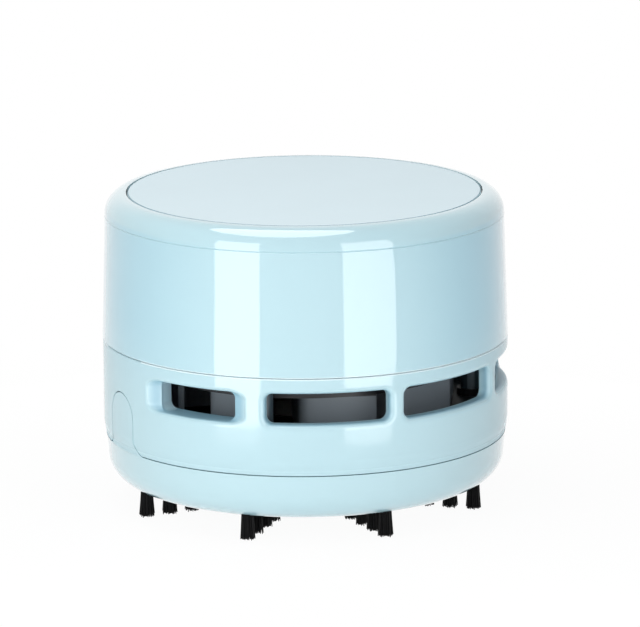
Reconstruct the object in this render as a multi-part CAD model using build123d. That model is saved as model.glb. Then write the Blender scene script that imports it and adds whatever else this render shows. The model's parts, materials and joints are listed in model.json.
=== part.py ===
from build123d import *
from math import cos, radians, sin, sqrt, tan
import os

# Desktop mini vacuum cleaner, in millimetres.
# Z is up and is the axis of the round body. The bristle tips stand on z = 0.
# The release latch of the dust tray faces -Y. Plan angles run from -Y towards +X.

# ---- overall form
body_r = 43.0           # widest radius, at the foot of the cap
bristle_free = 5.0      # bristles standing below the tray's floor
tray_rim_h = 10.1       # tray floor to the lower seam
seam_gap = 0.2          # shadow gap of both seams
slip = 0.3              # gap round covers and parts that lift off
part_gap = 0.1          # between pieces pressed or dropped into one another
wall = 2.0              # moulded walls of the tray and the cap
bite = 0.2              # how far ribs, bosses and posts run into the wall that carries them

# ---- dust tray
tray_step = 0.6         # the tray's rim is set in by this from the body
tray_draft = 0.8        # the tray's wall leans in by this towards its floor
tray_round = 6.0        # round between the wall and the underside
tray_floor = 1.8
spigot_wall = 0.8       # lap of the tray inside the housing
spigot_h = 3.2
nozzle_r = 10.5         # suction hole in the floor
nozzle_bevel = 0.8
chimney_wall = 1.3
chimney_h = 8.0         # stops dust falling back out of the hole
seat_rib_t = 1.6        # ribs that carry the filter
seat_rib_depth = 1.9
seat_rib_n = 8

# ---- bristles: rows of tufts in bars on the tray's floor
row_n = 8
tuft_n = 4
tuft_in = 5.7           # outermost tuft's axis inside the widest radius
tuft_pitch = 5.2
tuft_root_r = 1.42
tuft_tip_r = 1.7
tuft_socket_depth = 3.2
tuft_sides = 8
tuft_fit = 0.06
bar_w = 4.6
bar_over_socket = 0.6

# ---- release latch
latch_half_w = 5.1
latch_top = 12.3        # top of the arch above the lower seam
latch_flare = 2.5       # spread of the latch's two roots
latch_t = 2.0
latch_gap = 0.2
hook_half_w = 3.0
hook_t = 1.0
hook_foot = (6.4, 11.2)  # the hook leaves the latch between these heights above the seam
hook_top = 14.9
barb = 0.15
barb_h = 0.8
barb_drop = 1.5         # barb's lower edge below the hook's top
groove_depth = 0.8      # groove in the housing for the barb
press_room = 0.7        # inward travel of the latch beside the shroud

# ---- filter
filter_ring_w = 3.3
filter_h = 2.8
filter_gap = 0.8        # between the filter and the tray's spigot
spoke_n = 6
spoke_w = 2.0
spoke_h = 1.2
filter_hub_r = 5.0
cloth_t = 0.8
cloth_fit = 0.1

# ---- vent housing
vent_wall = 2.7
vent_draft = 0.1        # the housing is set in from the cap's foot by this
slot_n = 9              # places at even pitch, of which one has no slot
slot_first = 30.5       # plan angle of the first slot, the throttled one
slot_half_angle = 17.8  # half of a slot's opening in the chamber's wall
slot_flare = 17.0       # a slot's end walls spread outwards by this
slot_sill = 10.8        # sill above the lower seam
slot_h = 6.5
slot_over = 3.3         # top of the slots to the upper seam
slot_corner_r = 1.6
slot_lip_r = 1.2
scoop_lip_r = 0.9
scoop_half_angle = 17.0  # half of the scooped mouth of the throttled slot
throat_half_angle = 12.4
throat_depth = 2.0      # depth of the scooped mouth
throat_wall = 5.4       # wall round the throttled slot
throat_margin = 2.5     # that wall past each end of the throat
deck_t = 2.0
collar_wall = 1.2
collar_h = 3.7
foot_h = 2.6            # the housing tapers to the tray's rim over this height
foot_round = 6.0

# ---- intake shroud under the impeller
shroud_t = 1.2
shroud_gap = 0.7
shroud_eye_r = 12.0
eye_lip_w = 1.0
eye_lip_h = 0.5
post_r = 2.2            # posts for the shroud's screws, behind three of the lands
post_in = 1.2           # between a post and the chamber's wall
post_first = 50.2

# ---- screws
screw_r = 1.0
screw_head_r = 1.9
screw_head_h = 1.3
screw_len = 7.0
screw_fit = 0.2         # in the piece that a screw clamps
screw_cup_wall = 0.9
pilot_fit = 0.05
deck_post_r = 1.9       # posts under the deck for the chassis's screws
deck_post_angles = (94.4, 211.4, 328.4)
screw_edge = 0.8        # left of the chassis outside a screw's head

# ---- impeller and motor
impeller_r = 33.0
impeller_gap = 0.8      # above the shroud
impeller_under_deck = 1.6
impeller_disc_t = 1.5
vane_n = 9
vane_t = 1.3
vane_first = 61.6       # plan angle of the first vane's knee
vane_knee_in = 1.9      # knee inside the impeller's rim
vane_tip_angle = 28.8   # from the knee to the tip
vane_root_r = 13.5
vane_root_angle = -10.0
vane_knee_round = 3.0
hub_r = 4.0
hub_low = 1.4           # hub's lower end above the vanes' lower edge
hub_over = 0.6          # hub's upper end above the disc
shaft_r = 1.0
shaft_low = 0.6         # shaft's end above the hub's lower end
shaft_in = 0.2          # shaft's other end inside the rear boss
running_fit = 0.05
press_fit = 0.025
motor_d = 20.1
motor_flat = 15.1       # across the can's flats
can_h = 20.4
can_t = 0.8
can_boss_r = 3.05
can_boss_h = 1.5
bush_r = 2.2
bush_h = 2.6
end_cap_h = 4.4
end_cap_t = 1.4
end_boss_r = 3.65
end_boss_h = 1.2
end_boss_low = 2.0      # rear boss's root below the end cap's outside
magnet_t = 2.2
magnet_up = 4.0         # magnets above the can's floor
magnet_down = 2.4       # magnets below the end cap
magnet_half_angle = 55.0
core_r = 6.3
core_up = 6.5
core_down = 4.9
core_sleeve = 1.4       # core's wall round the shaft
tooth_half_angle = 46.0
tooth_t = 1.3
neck_w = 2.4
coil_t = 0.9
coil_over = 1.0         # coils past each end of the core
commutator_r = 2.3
commutator_h = 3.4
commutator_up = 1.6     # above the core
commutator_slit = 0.3
terminal_w = 2.4
terminal_t = 0.4
terminal_len = 4.6
terminal_up = 1.0       # blades' lower end above the can

# ---- cells, chassis and contacts
cell_r = 7.25
cell_len = 49.5
cell_nub_r = 2.75
cell_nub_h = 1.0
cell_bevel = 0.5
cell_fit = 0.15
chassis_t = 1.5
chassis_gap = 0.4
cradle_wall = 1.2
cradle_h = 9.0
cradle_gap = 0.75       # between a cradle and the motor's wall
contact_t = 0.4
contact_w = 9.0
contact_h = 10.0
cell_spring_len = 3.0
cell_spring_r = 2.6
cell_spring_wire = 0.5
cell_spring_turns = 2
end_wall_t = 1.5
end_wall_h = 13.0
motor_wall_t = 1.5
motor_wall_h = 14.0
motor_wall_half = 7.0

# ---- switch
switch_y = 19.6
switch_w = 8.5
switch_h = 9.0
post_h = 8.6            # switch seat above the chassis
post_wall = 1.2
post_lip = 2.0          # post's walls above the seat
stem_w = 3.4
stem_in = 4.0           # stem inside the switch at rest
stem_fit = 0.15
stem_gap = 1.0          # between the stem's end and the cap's deck
press_travel = 1.5

# ---- cap and press plate
cap_draft = 0.83        # the cap leans in by this up to its crease
shoulder_r = 4.6
crease_depth = 0.15
edge_break = 0.2        # bevel on the edges that meet at a seam
motor_headroom = 0.9    # between the motor's rear boss and the cap's deck
plate_t = 1.8
plate_gap = 0.35
plate_stop = 0.3        # left under the plate when it is pressed home
cap_deck_t = 1.6
well_n = 3
well_first = 0.0
well_ring_r = 26.0
well_r = 3.6
well_wall = 1.0
well_depth = 5.4
plate_spring_r = 2.7
plate_spring_wire = 0.6
plate_spring_turns = 4
guide_h = 2.5           # studs under the plate that centre the springs
leg_first = 60.0
leg_in = 4.6            # legs inside the plate's pocket
leg_w = 5.0
leg_t = 1.4
leg_hook = 1.2
leg_hook_h = 1.6
leg_flex = 1.2          # room behind a leg for its hook to snap in
plunger_r = 2.4
plunger_gap = 0.1       # between the plunger and the switch stem
rib_n = 6
rib_t = 1.2
rib_depth = 1.2
rib_gap = 1.5           # between a rib and the housing's collar

# ---- heights and radii that follow from the above
tray_z = bristle_free
lower_seam = tray_z + tray_rim_h
tray_top = lower_seam - seam_gap / 2
housing_low = lower_seam + seam_gap / 2
spigot_top = tray_top + spigot_h
sill_z = lower_seam + slot_sill
ceiling_z = sill_z + slot_h
deck_top = ceiling_z + deck_t
upper_seam = ceiling_z + slot_over
housing_top = upper_seam - seam_gap / 2
cap_low = upper_seam + seam_gap / 2

tray_r = body_r - tray_step
tray_in_r = tray_r - wall
spigot_r = tray_in_r + spigot_wall
rebate_r = spigot_r + slip
housing_r = body_r - vent_draft
chamber_r = housing_r - vent_wall
tuft_outer_r = body_r - tuft_in

floor_top = tray_z + tray_floor
socket_top = tray_z + tuft_socket_depth
bar_top = socket_top + bar_over_socket
filter_z = lower_seam
filter_r = tray_in_r - filter_gap
shroud_z = spigot_top + slip
shroud_top = shroud_z + shroud_t
shroud_r = chamber_r - shroud_gap
cup_top = shroud_z + screw_head_h + part_gap + shroud_t
cup_r = screw_head_r + screw_fit + screw_cup_wall
pilot_r = screw_r + pilot_fit
post_ring_r = chamber_r - post_r - post_in
impeller_z = shroud_top + impeller_gap
impeller_top = ceiling_z - impeller_under_deck
vane_knee_r = impeller_r - vane_knee_in

motor_top = deck_top + can_h
end_cap_top = motor_top + end_cap_h
magnet_h = can_h - magnet_up - magnet_down
core_h = can_h - core_up - core_down
hub_z = impeller_z + hub_low
cap_inner_r = body_r - wall
collar_r = cap_inner_r - slip
collar_in_r = collar_r - collar_wall
chassis_r = collar_in_r - chassis_gap
chassis_top = deck_top + chassis_t
chassis_screw_ring = chassis_r - screw_edge - screw_head_r
trough_r = cell_r + cell_fit
cradle_half_w = trough_r + cradle_wall
cell_x = motor_flat / 2 + part_gap + motor_wall_t + cradle_gap + cradle_half_w
cell_z = chassis_top + cradle_wall + trough_r
contact_y = (cell_len + cell_nub_h + cell_spring_len) / 2
switch_z = chassis_top + post_h
switch_top = switch_z + switch_h

cap_deck_z = end_cap_top + end_boss_h + motor_headroom
pocket_z = cap_deck_z + cap_deck_t
plate_z = pocket_z + plate_stop + press_travel
overall_height = plate_z + plate_t
pocket_r = body_r - cap_draft - shoulder_r
plate_r = pocket_r - plate_gap
leg_ring_r = pocket_r - leg_in
well_floor = cap_deck_z + bite - well_depth + well_wall
stem_top = cap_deck_z - stem_gap


# ---- helpers
def polar(r, angle, z=0.0):
    """A point at a plan angle measured from -Y towards +X."""
    return Vector(r * sin(radians(angle)), -r * cos(radians(angle)), z)


def turned(angle):
    """Location whose local -Y axis points along a plan angle."""
    return Rot(0, 0, angle)


def cylinder(r, low, high, at=(0, 0)):
    return Pos(at[0], at[1], low) * extrude(Circle(r), high - low)


def ring(outer, inner, low, high):
    return Pos(0, 0, low) * extrude(Circle(outer) - Circle(inner), high - low)


def block(x, y, z):
    """A box from three (low, high) pairs."""
    size = [high - low for low, high in (x, y, z)]
    centre = [(high + low) / 2 for low, high in (x, y, z)]
    return Pos(*centre) * Box(*size)


def turn_profile(points, radii):
    """Revolve a closed (radius, height) outline whose corners have the given radii."""
    outline = FilletPolyline(*points, radius=radii, close=True)
    return revolve(Plane.XZ * make_face(outline), Axis.Z)


def at_angles(count, first=0.0):
    return [first + i * 360 / count for i in range(count)]


def group(*solids):
    return Compound(children=list(solids))


def spring(r, wire, low, high, turns):
    """Round spring of square wire with its ends on the two heights."""
    rise = high - low - wire
    coil = Pos(0, 0, low + wire / 2) * Helix(rise / turns, rise, r)
    section = Plane(coil @ 0, z_dir=coil % 0) * Rectangle(wire, wire)
    return sweep(section, coil, is_frenet=True)


def motor_outline(shrink=0.0):
    """Round motor section with two flats, smaller all round by shrink."""
    disc = Circle(motor_d / 2 - shrink)
    return disc & Rectangle(motor_flat - 2 * shrink, motor_d)


def pan_screw(length):
    """Screw along +Z with its head below z = 0."""
    return cylinder(screw_r, 0, length) + cylinder(screw_head_r, -screw_head_h, 0)


# ---- dust tray
def arch(half_w, top, low):
    """Arched outline that spreads at its two roots, in the XZ plane."""
    root = low + latch_flare
    bend = 0.4 * latch_flare
    spring_z = top - half_w
    right = Line((half_w, root), (half_w, spring_z))
    over = ThreePointArc((half_w, spring_z), (0, top), (-half_w, spring_z))
    left = Line((-half_w, spring_z), (-half_w, root))
    left_root = ThreePointArc(
        (-half_w, root), (-half_w - bend, low + bend), (-half_w - latch_flare, low))
    base = Line((-half_w - latch_flare, low), (half_w + latch_flare, low))
    right_root = ThreePointArc(
        (half_w + latch_flare, low), (half_w + bend, low + bend), (half_w, root))
    return make_face(right + over + left + left_root + base + right_root)


def make_tray():
    lean_r = tray_r - tray_draft
    lean_in_r = tray_in_r - tray_draft
    chimney_r = nozzle_r + chimney_wall
    chimney_top = tray_z + chimney_h
    tray = turn_profile(
        [(nozzle_r, tray_z + nozzle_bevel), (nozzle_r + nozzle_bevel, tray_z),
         (lean_r, tray_z), (tray_r, tray_top), (spigot_r, tray_top),
         (spigot_r, spigot_top), (tray_in_r, spigot_top), (tray_in_r, tray_top),
         (lean_in_r, floor_top), (chimney_r, floor_top), (chimney_r, chimney_top),
         (nozzle_r, chimney_top)],
        [0, 0, tray_round, 0, 0, 0, 0, 0, tray_round - wall, 0, 0, 0])
    bar_low = floor_top - bite
    bar = block((-bar_w / 2, bar_w / 2), (-lean_in_r, -chimney_r + bite), (bar_low, bar_top))
    rib_low = floor_top + tray_round - wall
    rib = block((-seat_rib_t / 2, seat_rib_t / 2),
                (-tray_in_r - bite, seat_rib_depth - lean_in_r), (rib_low, filter_z))
    socket = Pos(0, 0, tray_z - 1) * extrude(tuft_section(tuft_root_r + tuft_fit),
                                             tuft_socket_depth + 1)
    for angle in at_angles(row_n):
        tray += turned(angle) * bar
    for angle in at_angles(seat_rib_n, 180 / seat_rib_n):
        tray += turned(angle) * rib
    for angle in at_angles(row_n):
        for r in tuft_radii():
            tray -= Pos(*polar(r, angle)) * turned(angle) * socket
    side = latch_half_w + latch_flare + slip
    notch = block((-side, side), (-body_r, wall - tray_in_r), (tray_top, spigot_top + 1))
    return tray - notch


def tuft_section(r):
    return RegularPolygon(r, tuft_sides, major_radius=False, rotation=180 / tuft_sides)


def tuft_radii():
    return [tuft_outer_r - i * tuft_pitch for i in range(tuft_n)]


def make_bristle_row(angle):
    neck_z = tray_z - tuft_tip_r / 4
    tip = tuft_section(tuft_tip_r)
    root = Pos(0, 0, neck_z) * tuft_section(tuft_root_r)
    shank = Pos(0, 0, neck_z) * extrude(tuft_section(tuft_root_r), socket_top - neck_z)
    tuft = loft([tip, root]) + shank
    return group(*[Pos(*polar(r, angle)) * turned(angle) * tuft for r in tuft_radii()])


def make_latch():
    top = lower_seam + latch_top
    inner = housing_r - latch_t
    skin = turn_profile(
        [(inner, tray_top), (tray_r, tray_top), (tray_r, housing_low),
         (housing_r, housing_low + foot_h), (housing_r, top + 1), (inner, top + 1)],
        [0, 0, 0, foot_round, 0, 0])
    face = extrude(Plane.XZ * arch(latch_half_w, top, tray_top), housing_r + 1)
    tongue = skin & face
    hook_y = -(chamber_r - slip)
    foot_low, foot_high = (lower_seam + h for h in hook_foot)
    foot = block((-hook_half_w, hook_half_w), (-inner - bite, hook_y + hook_t),
                 (foot_low, foot_high))
    arm = block((-hook_half_w, hook_half_w), (hook_y, hook_y + hook_t),
                (foot_low, lower_seam + hook_top))
    tooth_z = lower_seam + hook_top - barb_drop
    tooth = block((-hook_half_w, hook_half_w), (hook_y - barb, hook_y),
                  (tooth_z, tooth_z + barb_h))
    return tongue + foot + arm + tooth


# ---- filter
def latch_relief(low, high):
    """Room for the latch's hook in a round piece that passes it."""
    side = hook_half_w + 2 * slip
    depth = slip + hook_t + slip + press_room
    return block((-side, side), (-body_r, depth - chamber_r), (low, high))


def make_filter_frame():
    inner = filter_r - filter_ring_w
    frame = ring(filter_r, inner, filter_z, filter_z + filter_h)
    frame += cylinder(filter_hub_r, filter_z, filter_z + spoke_h)
    spoke = block((-spoke_w / 2, spoke_w / 2), (-inner - bite, bite - filter_hub_r),
                  (filter_z, filter_z + spoke_h))
    for angle in at_angles(spoke_n, 30):
        frame += turned(angle) * spoke
    return frame - latch_relief(filter_z - 1, filter_z + filter_h + 1)


def make_filter_cloth():
    low = filter_z + spoke_h
    return cylinder(filter_r - filter_ring_w - cloth_fit, low, low + cloth_t)


# ---- vent housing
def slot_angles():
    """Plan angles of the slots. The last place of the ring is left closed for the latch."""
    return at_angles(slot_n, slot_first)[:slot_n - 1]


def slot_cutter(half_w, distance, spread, inner):
    """Cutter along local -Y that starts at inner and is half_w to each side at distance.

    It widens by spread for each unit of length, and its four long edges are rounded.
    """
    outer = body_r + 2
    in_w, out_w = (half_w + (y - distance) * spread for y in (inner, outer))
    plan = Polyline((-in_w, -inner), (in_w, -inner), (out_w, -outer), (-out_w, -outer), close=True)
    cutter = Pos(0, 0, sill_z) * extrude(make_face(plan), slot_h)
    long_edges = [e for e in cutter.edges() if abs((e % 0.5).Y) > 0.1]
    return fillet(long_edges, slot_corner_r)


def make_vent_housing():
    boss_hole_r = can_boss_r + part_gap
    rebate_top = shroud_z - part_gap
    shell = turn_profile(
        [(rebate_r, housing_low), (tray_r, housing_low), (housing_r, housing_low + foot_h),
         (housing_r, housing_top - edge_break), (housing_r - edge_break, housing_top),
         (collar_r, housing_top), (collar_r, housing_top + collar_h),
         (collar_in_r, housing_top + collar_h), (collar_in_r, deck_top),
         (boss_hole_r, deck_top), (boss_hole_r, ceiling_z), (chamber_r, ceiling_z),
         (chamber_r, rebate_top), (rebate_r, rebate_top)],
        [0, 0, foot_round] + [0] * 11)
    slots = slot_angles()
    throat_r = housing_r - throat_wall
    throat_w = housing_r * sin(radians(throat_half_angle))
    throat = ring(chamber_r + bite, throat_r, sill_z - 1.5, ceiling_z + bite)
    side = throat_w + throat_margin
    throat &= block((-side, side), (-body_r, 0), (0, overall_height))
    shell += turned(slots[0]) * throat
    reach = radians(slot_half_angle)
    opening_w, opening_y = chamber_r * sin(reach), chamber_r * cos(reach)
    for angle in slots[1:]:
        shell -= turned(angle) * slot_cutter(opening_w, opening_y, tan(radians(slot_flare)),
                                             opening_y - 1)
    mouth = radians(scoop_half_angle)
    floor_y = (housing_r - throat_depth) * cos(radians(throat_half_angle))
    ramp = (housing_r * sin(mouth) - throat_w) / (housing_r * cos(mouth) - floor_y)
    shell -= turned(slots[0]) * slot_cutter(throat_w, floor_y, 0, throat_r - 2)
    shell -= turned(slots[0]) * slot_cutter(throat_w, floor_y, ramp, floor_y)
    return finish_housing(round_lips(shell))


def on_outer_wall(edge):
    """True for an edge of a slot that lies on the housing's outer wall."""
    points = [edge @ t for t in (0.0, 0.5, 1.0)]
    on_wall = all(abs(sqrt(p.X ** 2 + p.Y ** 2) - housing_r) < 0.01 for p in points)
    inside = all(sill_z - 0.1 < p.Z < ceiling_z + 0.1 for p in points)
    return on_wall and inside


def in_scoop(edge):
    """True for an edge in the half-pitch to each side of the throttled slot's centre."""
    return (edge @ 0.5).dot(polar(1, slot_first)) > housing_r * cos(radians(180 / slot_n))


def round_lips(shell):
    """Round every slot where it opens in the outer wall."""
    shell = fillet([e for e in shell.edges() if on_outer_wall(e) and in_scoop(e)], scoop_lip_r)
    return fillet([e for e in shell.edges() if on_outer_wall(e) and not in_scoop(e)], slot_lip_r)


def finish_housing(shell):
    """Add the posts and their pilot holes, and cut the latch's window."""
    web_w = 0.6 * post_r
    for angle in at_angles(3, post_first):
        post = cylinder(post_r, cup_top, ceiling_z + bite, (0, -post_ring_r))
        web = block((-web_w, web_w), (-chamber_r - bite, -post_ring_r),
                    (cup_top, ceiling_z + bite))
        shell += turned(angle) * (post + web)
    for angle in at_angles(3, post_first):
        pilot = cylinder(pilot_r, cup_top - 1, cup_top + screw_len, (0, -post_ring_r))
        shell -= turned(angle) * pilot
    tip_z = chassis_top - screw_len
    for angle in deck_post_angles:
        post = cylinder(deck_post_r, tip_z - 2 * slip, ceiling_z + bite, (0, -chassis_screw_ring))
        shell += turned(angle) * post
    for angle in deck_post_angles:
        pilot = cylinder(pilot_r, tip_z - slip, deck_top + 1, (0, -chassis_screw_ring))
        shell -= turned(angle) * pilot
    top = lower_seam + latch_top + latch_gap
    window = extrude(Plane.XZ * arch(latch_half_w + latch_gap, top, housing_low - 0.01), body_r + 2)
    window -= cylinder(chamber_r - 3, housing_low - 1, overall_height)
    groove_z = lower_seam + hook_top - barb_drop - slip
    groove = ring(chamber_r + groove_depth, chamber_r - 1, groove_z, groove_z + barb_h + 2 * slip)
    groove &= block((-hook_half_w - slip, hook_half_w + slip), (-body_r, 0), (0, overall_height))
    return shell - window - groove


# ---- intake shroud and screws
def make_shroud():
    plate = turn_profile(
        [(shroud_eye_r, shroud_z), (shroud_r, shroud_z), (shroud_r, shroud_top),
         (shroud_eye_r + eye_lip_w, shroud_top), (shroud_eye_r + eye_lip_w, shroud_top + eye_lip_h),
         (shroud_eye_r, shroud_top + eye_lip_h)],
        [0.4, 0, 0, 0, 0, 0])
    seat_z = cup_top - shroud_t
    cup = cylinder(cup_r, shroud_z, cup_top, (0, -post_ring_r))
    bore = cylinder(screw_head_r + screw_fit, shroud_z - 1, seat_z, (0, -post_ring_r))
    hole = cylinder(screw_r + screw_fit, shroud_z - 1, cup_top + 1, (0, -post_ring_r))
    for angle in at_angles(3, post_first):
        plate += turned(angle) * cup
    for angle in at_angles(3, post_first):
        plate -= turned(angle) * (bore + hole)
    return plate - latch_relief(shroud_z - 1, shroud_top + 1)


def make_shroud_screws():
    seat_z = cup_top - shroud_t
    places = [polar(post_ring_r, angle, seat_z) for angle in at_angles(3, post_first)]
    return group(*[Pos(*p) * pan_screw(screw_len) for p in places])


def make_chassis_screws():
    places = [polar(chassis_screw_ring, angle, chassis_top) for angle in deck_post_angles]
    return group(*[Pos(*p) * Rot(180, 0, 0) * pan_screw(screw_len) for p in places])


# ---- impeller and motor
def vane_outline():
    """Plan of one vane: a web that runs outwards and a flat paddle from its knee to the tip."""
    root = polar(vane_root_r, vane_root_angle)
    knee = polar(vane_knee_r, 0)
    tip = polar(impeller_r, vane_tip_angle)
    up = (knee - root).normalized()
    along = (tip - knee).normalized()
    in_web = Vector(-up.Y, up.X)
    in_paddle = Vector(-along.Y, along.X)
    inner_knee = knee + (in_web + in_paddle) * (vane_t / (1 + in_web.dot(in_paddle)))
    corners = [root, knee, tip, tip + in_paddle * vane_t, inner_knee, root + in_web * vane_t]
    rounds = [0, vane_knee_round, 0, 0, vane_knee_round - vane_t, 0]
    return make_face(FilletPolyline(*corners, radius=rounds, close=True))


def make_impeller():
    disc_z = impeller_top - impeller_disc_t
    wheel = cylinder(impeller_r, disc_z, impeller_top)
    wheel += cylinder(hub_r, hub_z, impeller_top + hub_over)
    vane = Pos(0, 0, impeller_z) * extrude(vane_outline(), disc_z - impeller_z + bite)
    for angle in at_angles(vane_n, vane_first):
        wheel += turned(angle) * vane
    return wheel - cylinder(shaft_r + press_fit, hub_z - 1, impeller_top + 2)


def make_shaft():
    return cylinder(shaft_r, hub_z + shaft_low, end_cap_top + end_boss_h - shaft_in)


def make_can():
    body = Pos(0, 0, deck_top) * extrude(motor_outline(), can_h)
    body -= Pos(0, 0, deck_top + can_t) * extrude(motor_outline(can_t), can_h)
    body += cylinder(can_boss_r, deck_top - can_boss_h, deck_top + can_t)
    return body - cylinder(bush_r, deck_top - can_boss_h - 1, deck_top + can_t + 1)


def make_bush(low):
    return ring(bush_r - running_fit, shaft_r + running_fit, low, low + bush_h)


def make_front_bush():
    return make_bush(deck_top - can_boss_h)


def make_rear_bush():
    return make_bush(end_cap_top + end_boss_h - bush_h)


def make_end_cap():
    cap = Pos(0, 0, motor_top) * extrude(motor_outline(), end_cap_h)
    cap -= Pos(0, 0, motor_top - 1) * extrude(motor_outline(2 * can_t), end_cap_h + 1 - end_cap_t)
    cap += cylinder(end_boss_r, end_cap_top - end_boss_low, end_cap_top + end_boss_h)
    cap -= cylinder(bush_r, motor_top, end_cap_top + end_boss_h + 1)
    for side in (-1, 1):
        slot = Box(terminal_t + part_gap, terminal_w + part_gap, 4 * end_cap_t)
        cap -= Pos(side * terminal_x(), 0, end_cap_top) * slot
    return cap


def terminal_x():
    return motor_flat / 2 - 2 * can_t - terminal_t


def make_terminals():
    low = motor_top + terminal_up
    blade = block((-terminal_t / 2, terminal_t / 2), (-terminal_w / 2, terminal_w / 2),
                  (low, low + terminal_len))
    return group(*[Pos(side * terminal_x(), 0, 0) * blade for side in (-1, 1)])


def make_magnets():
    outer = motor_d / 2 - can_t - running_fit
    low = deck_top + magnet_up
    shell = ring(outer, outer - magnet_t, low, low + magnet_h)
    limit = outer * sin(radians(magnet_half_angle))
    half_flat = motor_flat / 2 - can_t - running_fit
    width = min(limit, half_flat)
    reach = (outer - magnet_t) * cos(radians(magnet_half_angle))
    front = shell & block((-width, width), (-motor_d, -reach), (low, low + magnet_h))
    return group(front, Rot(0, 0, 180) * front)


def make_armature():
    """Three-toothed core on the shaft."""
    low = deck_top + core_up
    core = cylinder(shaft_r + core_sleeve, low, low + core_h)
    teeth = ring(core_r, core_r - tooth_t, low, low + core_h)
    edge = core_r * sin(radians(tooth_half_angle))
    for angle in at_angles(3, 60):
        neck = block((-neck_w / 2, neck_w / 2), (bite - core_r, 0), (low, low + core_h))
        crown = teeth & block((-edge, edge), (-core_r - 1, -core_r / 2), (low, low + core_h))
        core += turned(angle) * (neck + crown)
    return core - cylinder(shaft_r + press_fit, low - 1, low + core_h + 1)


def make_windings():
    """One coil round the neck of each tooth."""
    low = deck_top + core_up - coil_over
    high = low + core_h + 2 * coil_over
    half = neck_w / 2 + coil_t
    crown_y = -sqrt((core_r - tooth_t) ** 2 - half ** 2) + part_gap
    coil = block((-half, half), (crown_y, -shaft_r - core_sleeve - coil_t), (low, high))
    room = coil_over - part_gap
    coil -= block((-neck_w / 2 - part_gap, neck_w / 2 + part_gap), (-core_r, 0),
                  (low + room, high - room))
    return group(*[turned(angle) * coil for angle in at_angles(3, 60)])


def make_commutator():
    low = deck_top + core_up + core_h + commutator_up
    sleeve = ring(commutator_r, shaft_r + press_fit, low, low + commutator_h)
    half = commutator_slit / 2
    for angle in at_angles(3):
        slit = block((-half, half), (-2 * commutator_r, half - commutator_r),
                     (low - 1, low + commutator_h + 1))
        sleeve -= turned(angle) * slit
    return sleeve


# ---- cells, chassis and contacts
def make_cell(side):
    """A cell along Y whose nub points to +Y on one side and to -Y on the other."""
    length = cell_len + cell_nub_h
    can = Pos(0, 0, -length / 2) * extrude(Circle(cell_r), cell_len)
    can = chamfer(can.edges().filter_by(GeomType.CIRCLE), cell_bevel)
    nub = Pos(0, 0, length / 2 - cell_nub_h) * extrude(Circle(cell_nub_r), cell_nub_h)
    facing = Rot(-90, 0, 0) if side > 0 else Rot(90, 0, 0)
    shift = side * cell_spring_len / 2
    return Pos(side * cell_x, shift, cell_z) * facing * (can + nub)


def make_cradle(side):
    """Walls round one cell, with a tall tab at each end for the contacts."""
    x = side * cell_x
    half_l = contact_y + contact_t + part_gap + end_wall_t
    low = chassis_top - bite
    body = block((x - cradle_half_w, x + cradle_half_w), (-half_l, half_l),
                 (low, chassis_top + cradle_h))
    body += block((x - contact_w / 2, x + contact_w / 2), (-half_l, half_l),
                  (low, chassis_top + end_wall_h))
    return body & cylinder(chassis_r, 0, overall_height)


def trough_cutter(side):
    """Room for one cell, open above."""
    x = side * cell_x
    half_l = contact_y + contact_t + part_gap
    trough = Pos(x, 0, cell_z) * Rot(90, 0, 0) * Cylinder(trough_r, 2 * half_l)
    above = block((x - trough_r, x + trough_r), (-half_l, half_l), (cell_z, overall_height))
    return trough + above


def make_switch_post():
    half = switch_w / 2 + post_wall
    room = switch_w / 2 + part_gap
    post = block((-half, half), (switch_y - half, switch_y + half),
                 (chassis_top - bite, switch_z + post_lip))
    post -= block((-room, room), (switch_y - room, switch_y + room), (switch_z, overall_height))
    post -= block((-half + post_wall, half - post_wall),
                  (switch_y - half + post_wall, switch_y + half + 1),
                  (chassis_top, switch_z - post_wall))
    return post


def make_chassis():
    frame = cylinder(chassis_r, deck_top, chassis_top)
    for side in (-1, 1):
        frame += make_cradle(side)
        frame -= trough_cutter(side)
    for side in (-1, 1):
        inner = motor_flat / 2 + part_gap
        low, high = sorted((side * inner, side * (inner + motor_wall_t)))
        frame += block((low, high), (-motor_wall_half, motor_wall_half),
                       (chassis_top - bite, chassis_top + motor_wall_h))
    frame -= Pos(0, 0, deck_top - 1) * extrude(motor_outline(-part_gap), can_h)
    frame += make_switch_post()
    for angle in deck_post_angles:
        hole = cylinder(screw_r + screw_fit, 0, overall_height, (0, -chassis_screw_ring))
        frame -= turned(angle) * hole
    return frame


def contact_plate(side, end):
    """Flat contact against the chassis's end wall."""
    x = side * cell_x
    low, high = sorted((end * contact_y, end * (contact_y + contact_t)))
    foot_z = cell_z - sqrt(trough_r ** 2 - (contact_w / 2) ** 2) + part_gap
    return block((x - contact_w / 2, x + contact_w / 2), (low, high), (foot_z, foot_z + contact_h))


def make_spring_contacts():
    """Negative contacts, which carry the springs."""
    return group(contact_plate(1, -1), contact_plate(-1, 1))


def make_nub_contacts():
    """Positive contacts, which the nubs press on."""
    return group(contact_plate(1, 1), contact_plate(-1, -1))


def make_cell_spring(side):
    coil = spring(cell_spring_r, cell_spring_wire, 0, cell_spring_len, cell_spring_turns)
    facing = Rot(-90, 0, 0) if side > 0 else Rot(90, 0, 0)
    return Pos(side * cell_x, -side * contact_y, cell_z) * facing * coil


# ---- switch
def make_switch():
    half = switch_w / 2
    body = block((-half, half), (switch_y - half, switch_y + half), (switch_z, switch_top))
    bore = stem_w / 2 + stem_fit
    room = stem_in + press_travel + slip
    return body - block((-bore, bore), (switch_y - bore, switch_y + bore),
                        (switch_top - room, switch_top + 1))


def make_stem():
    half = stem_w / 2
    return block((-half, half), (switch_y - half, switch_y + half), (switch_top - stem_in, stem_top))


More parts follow.
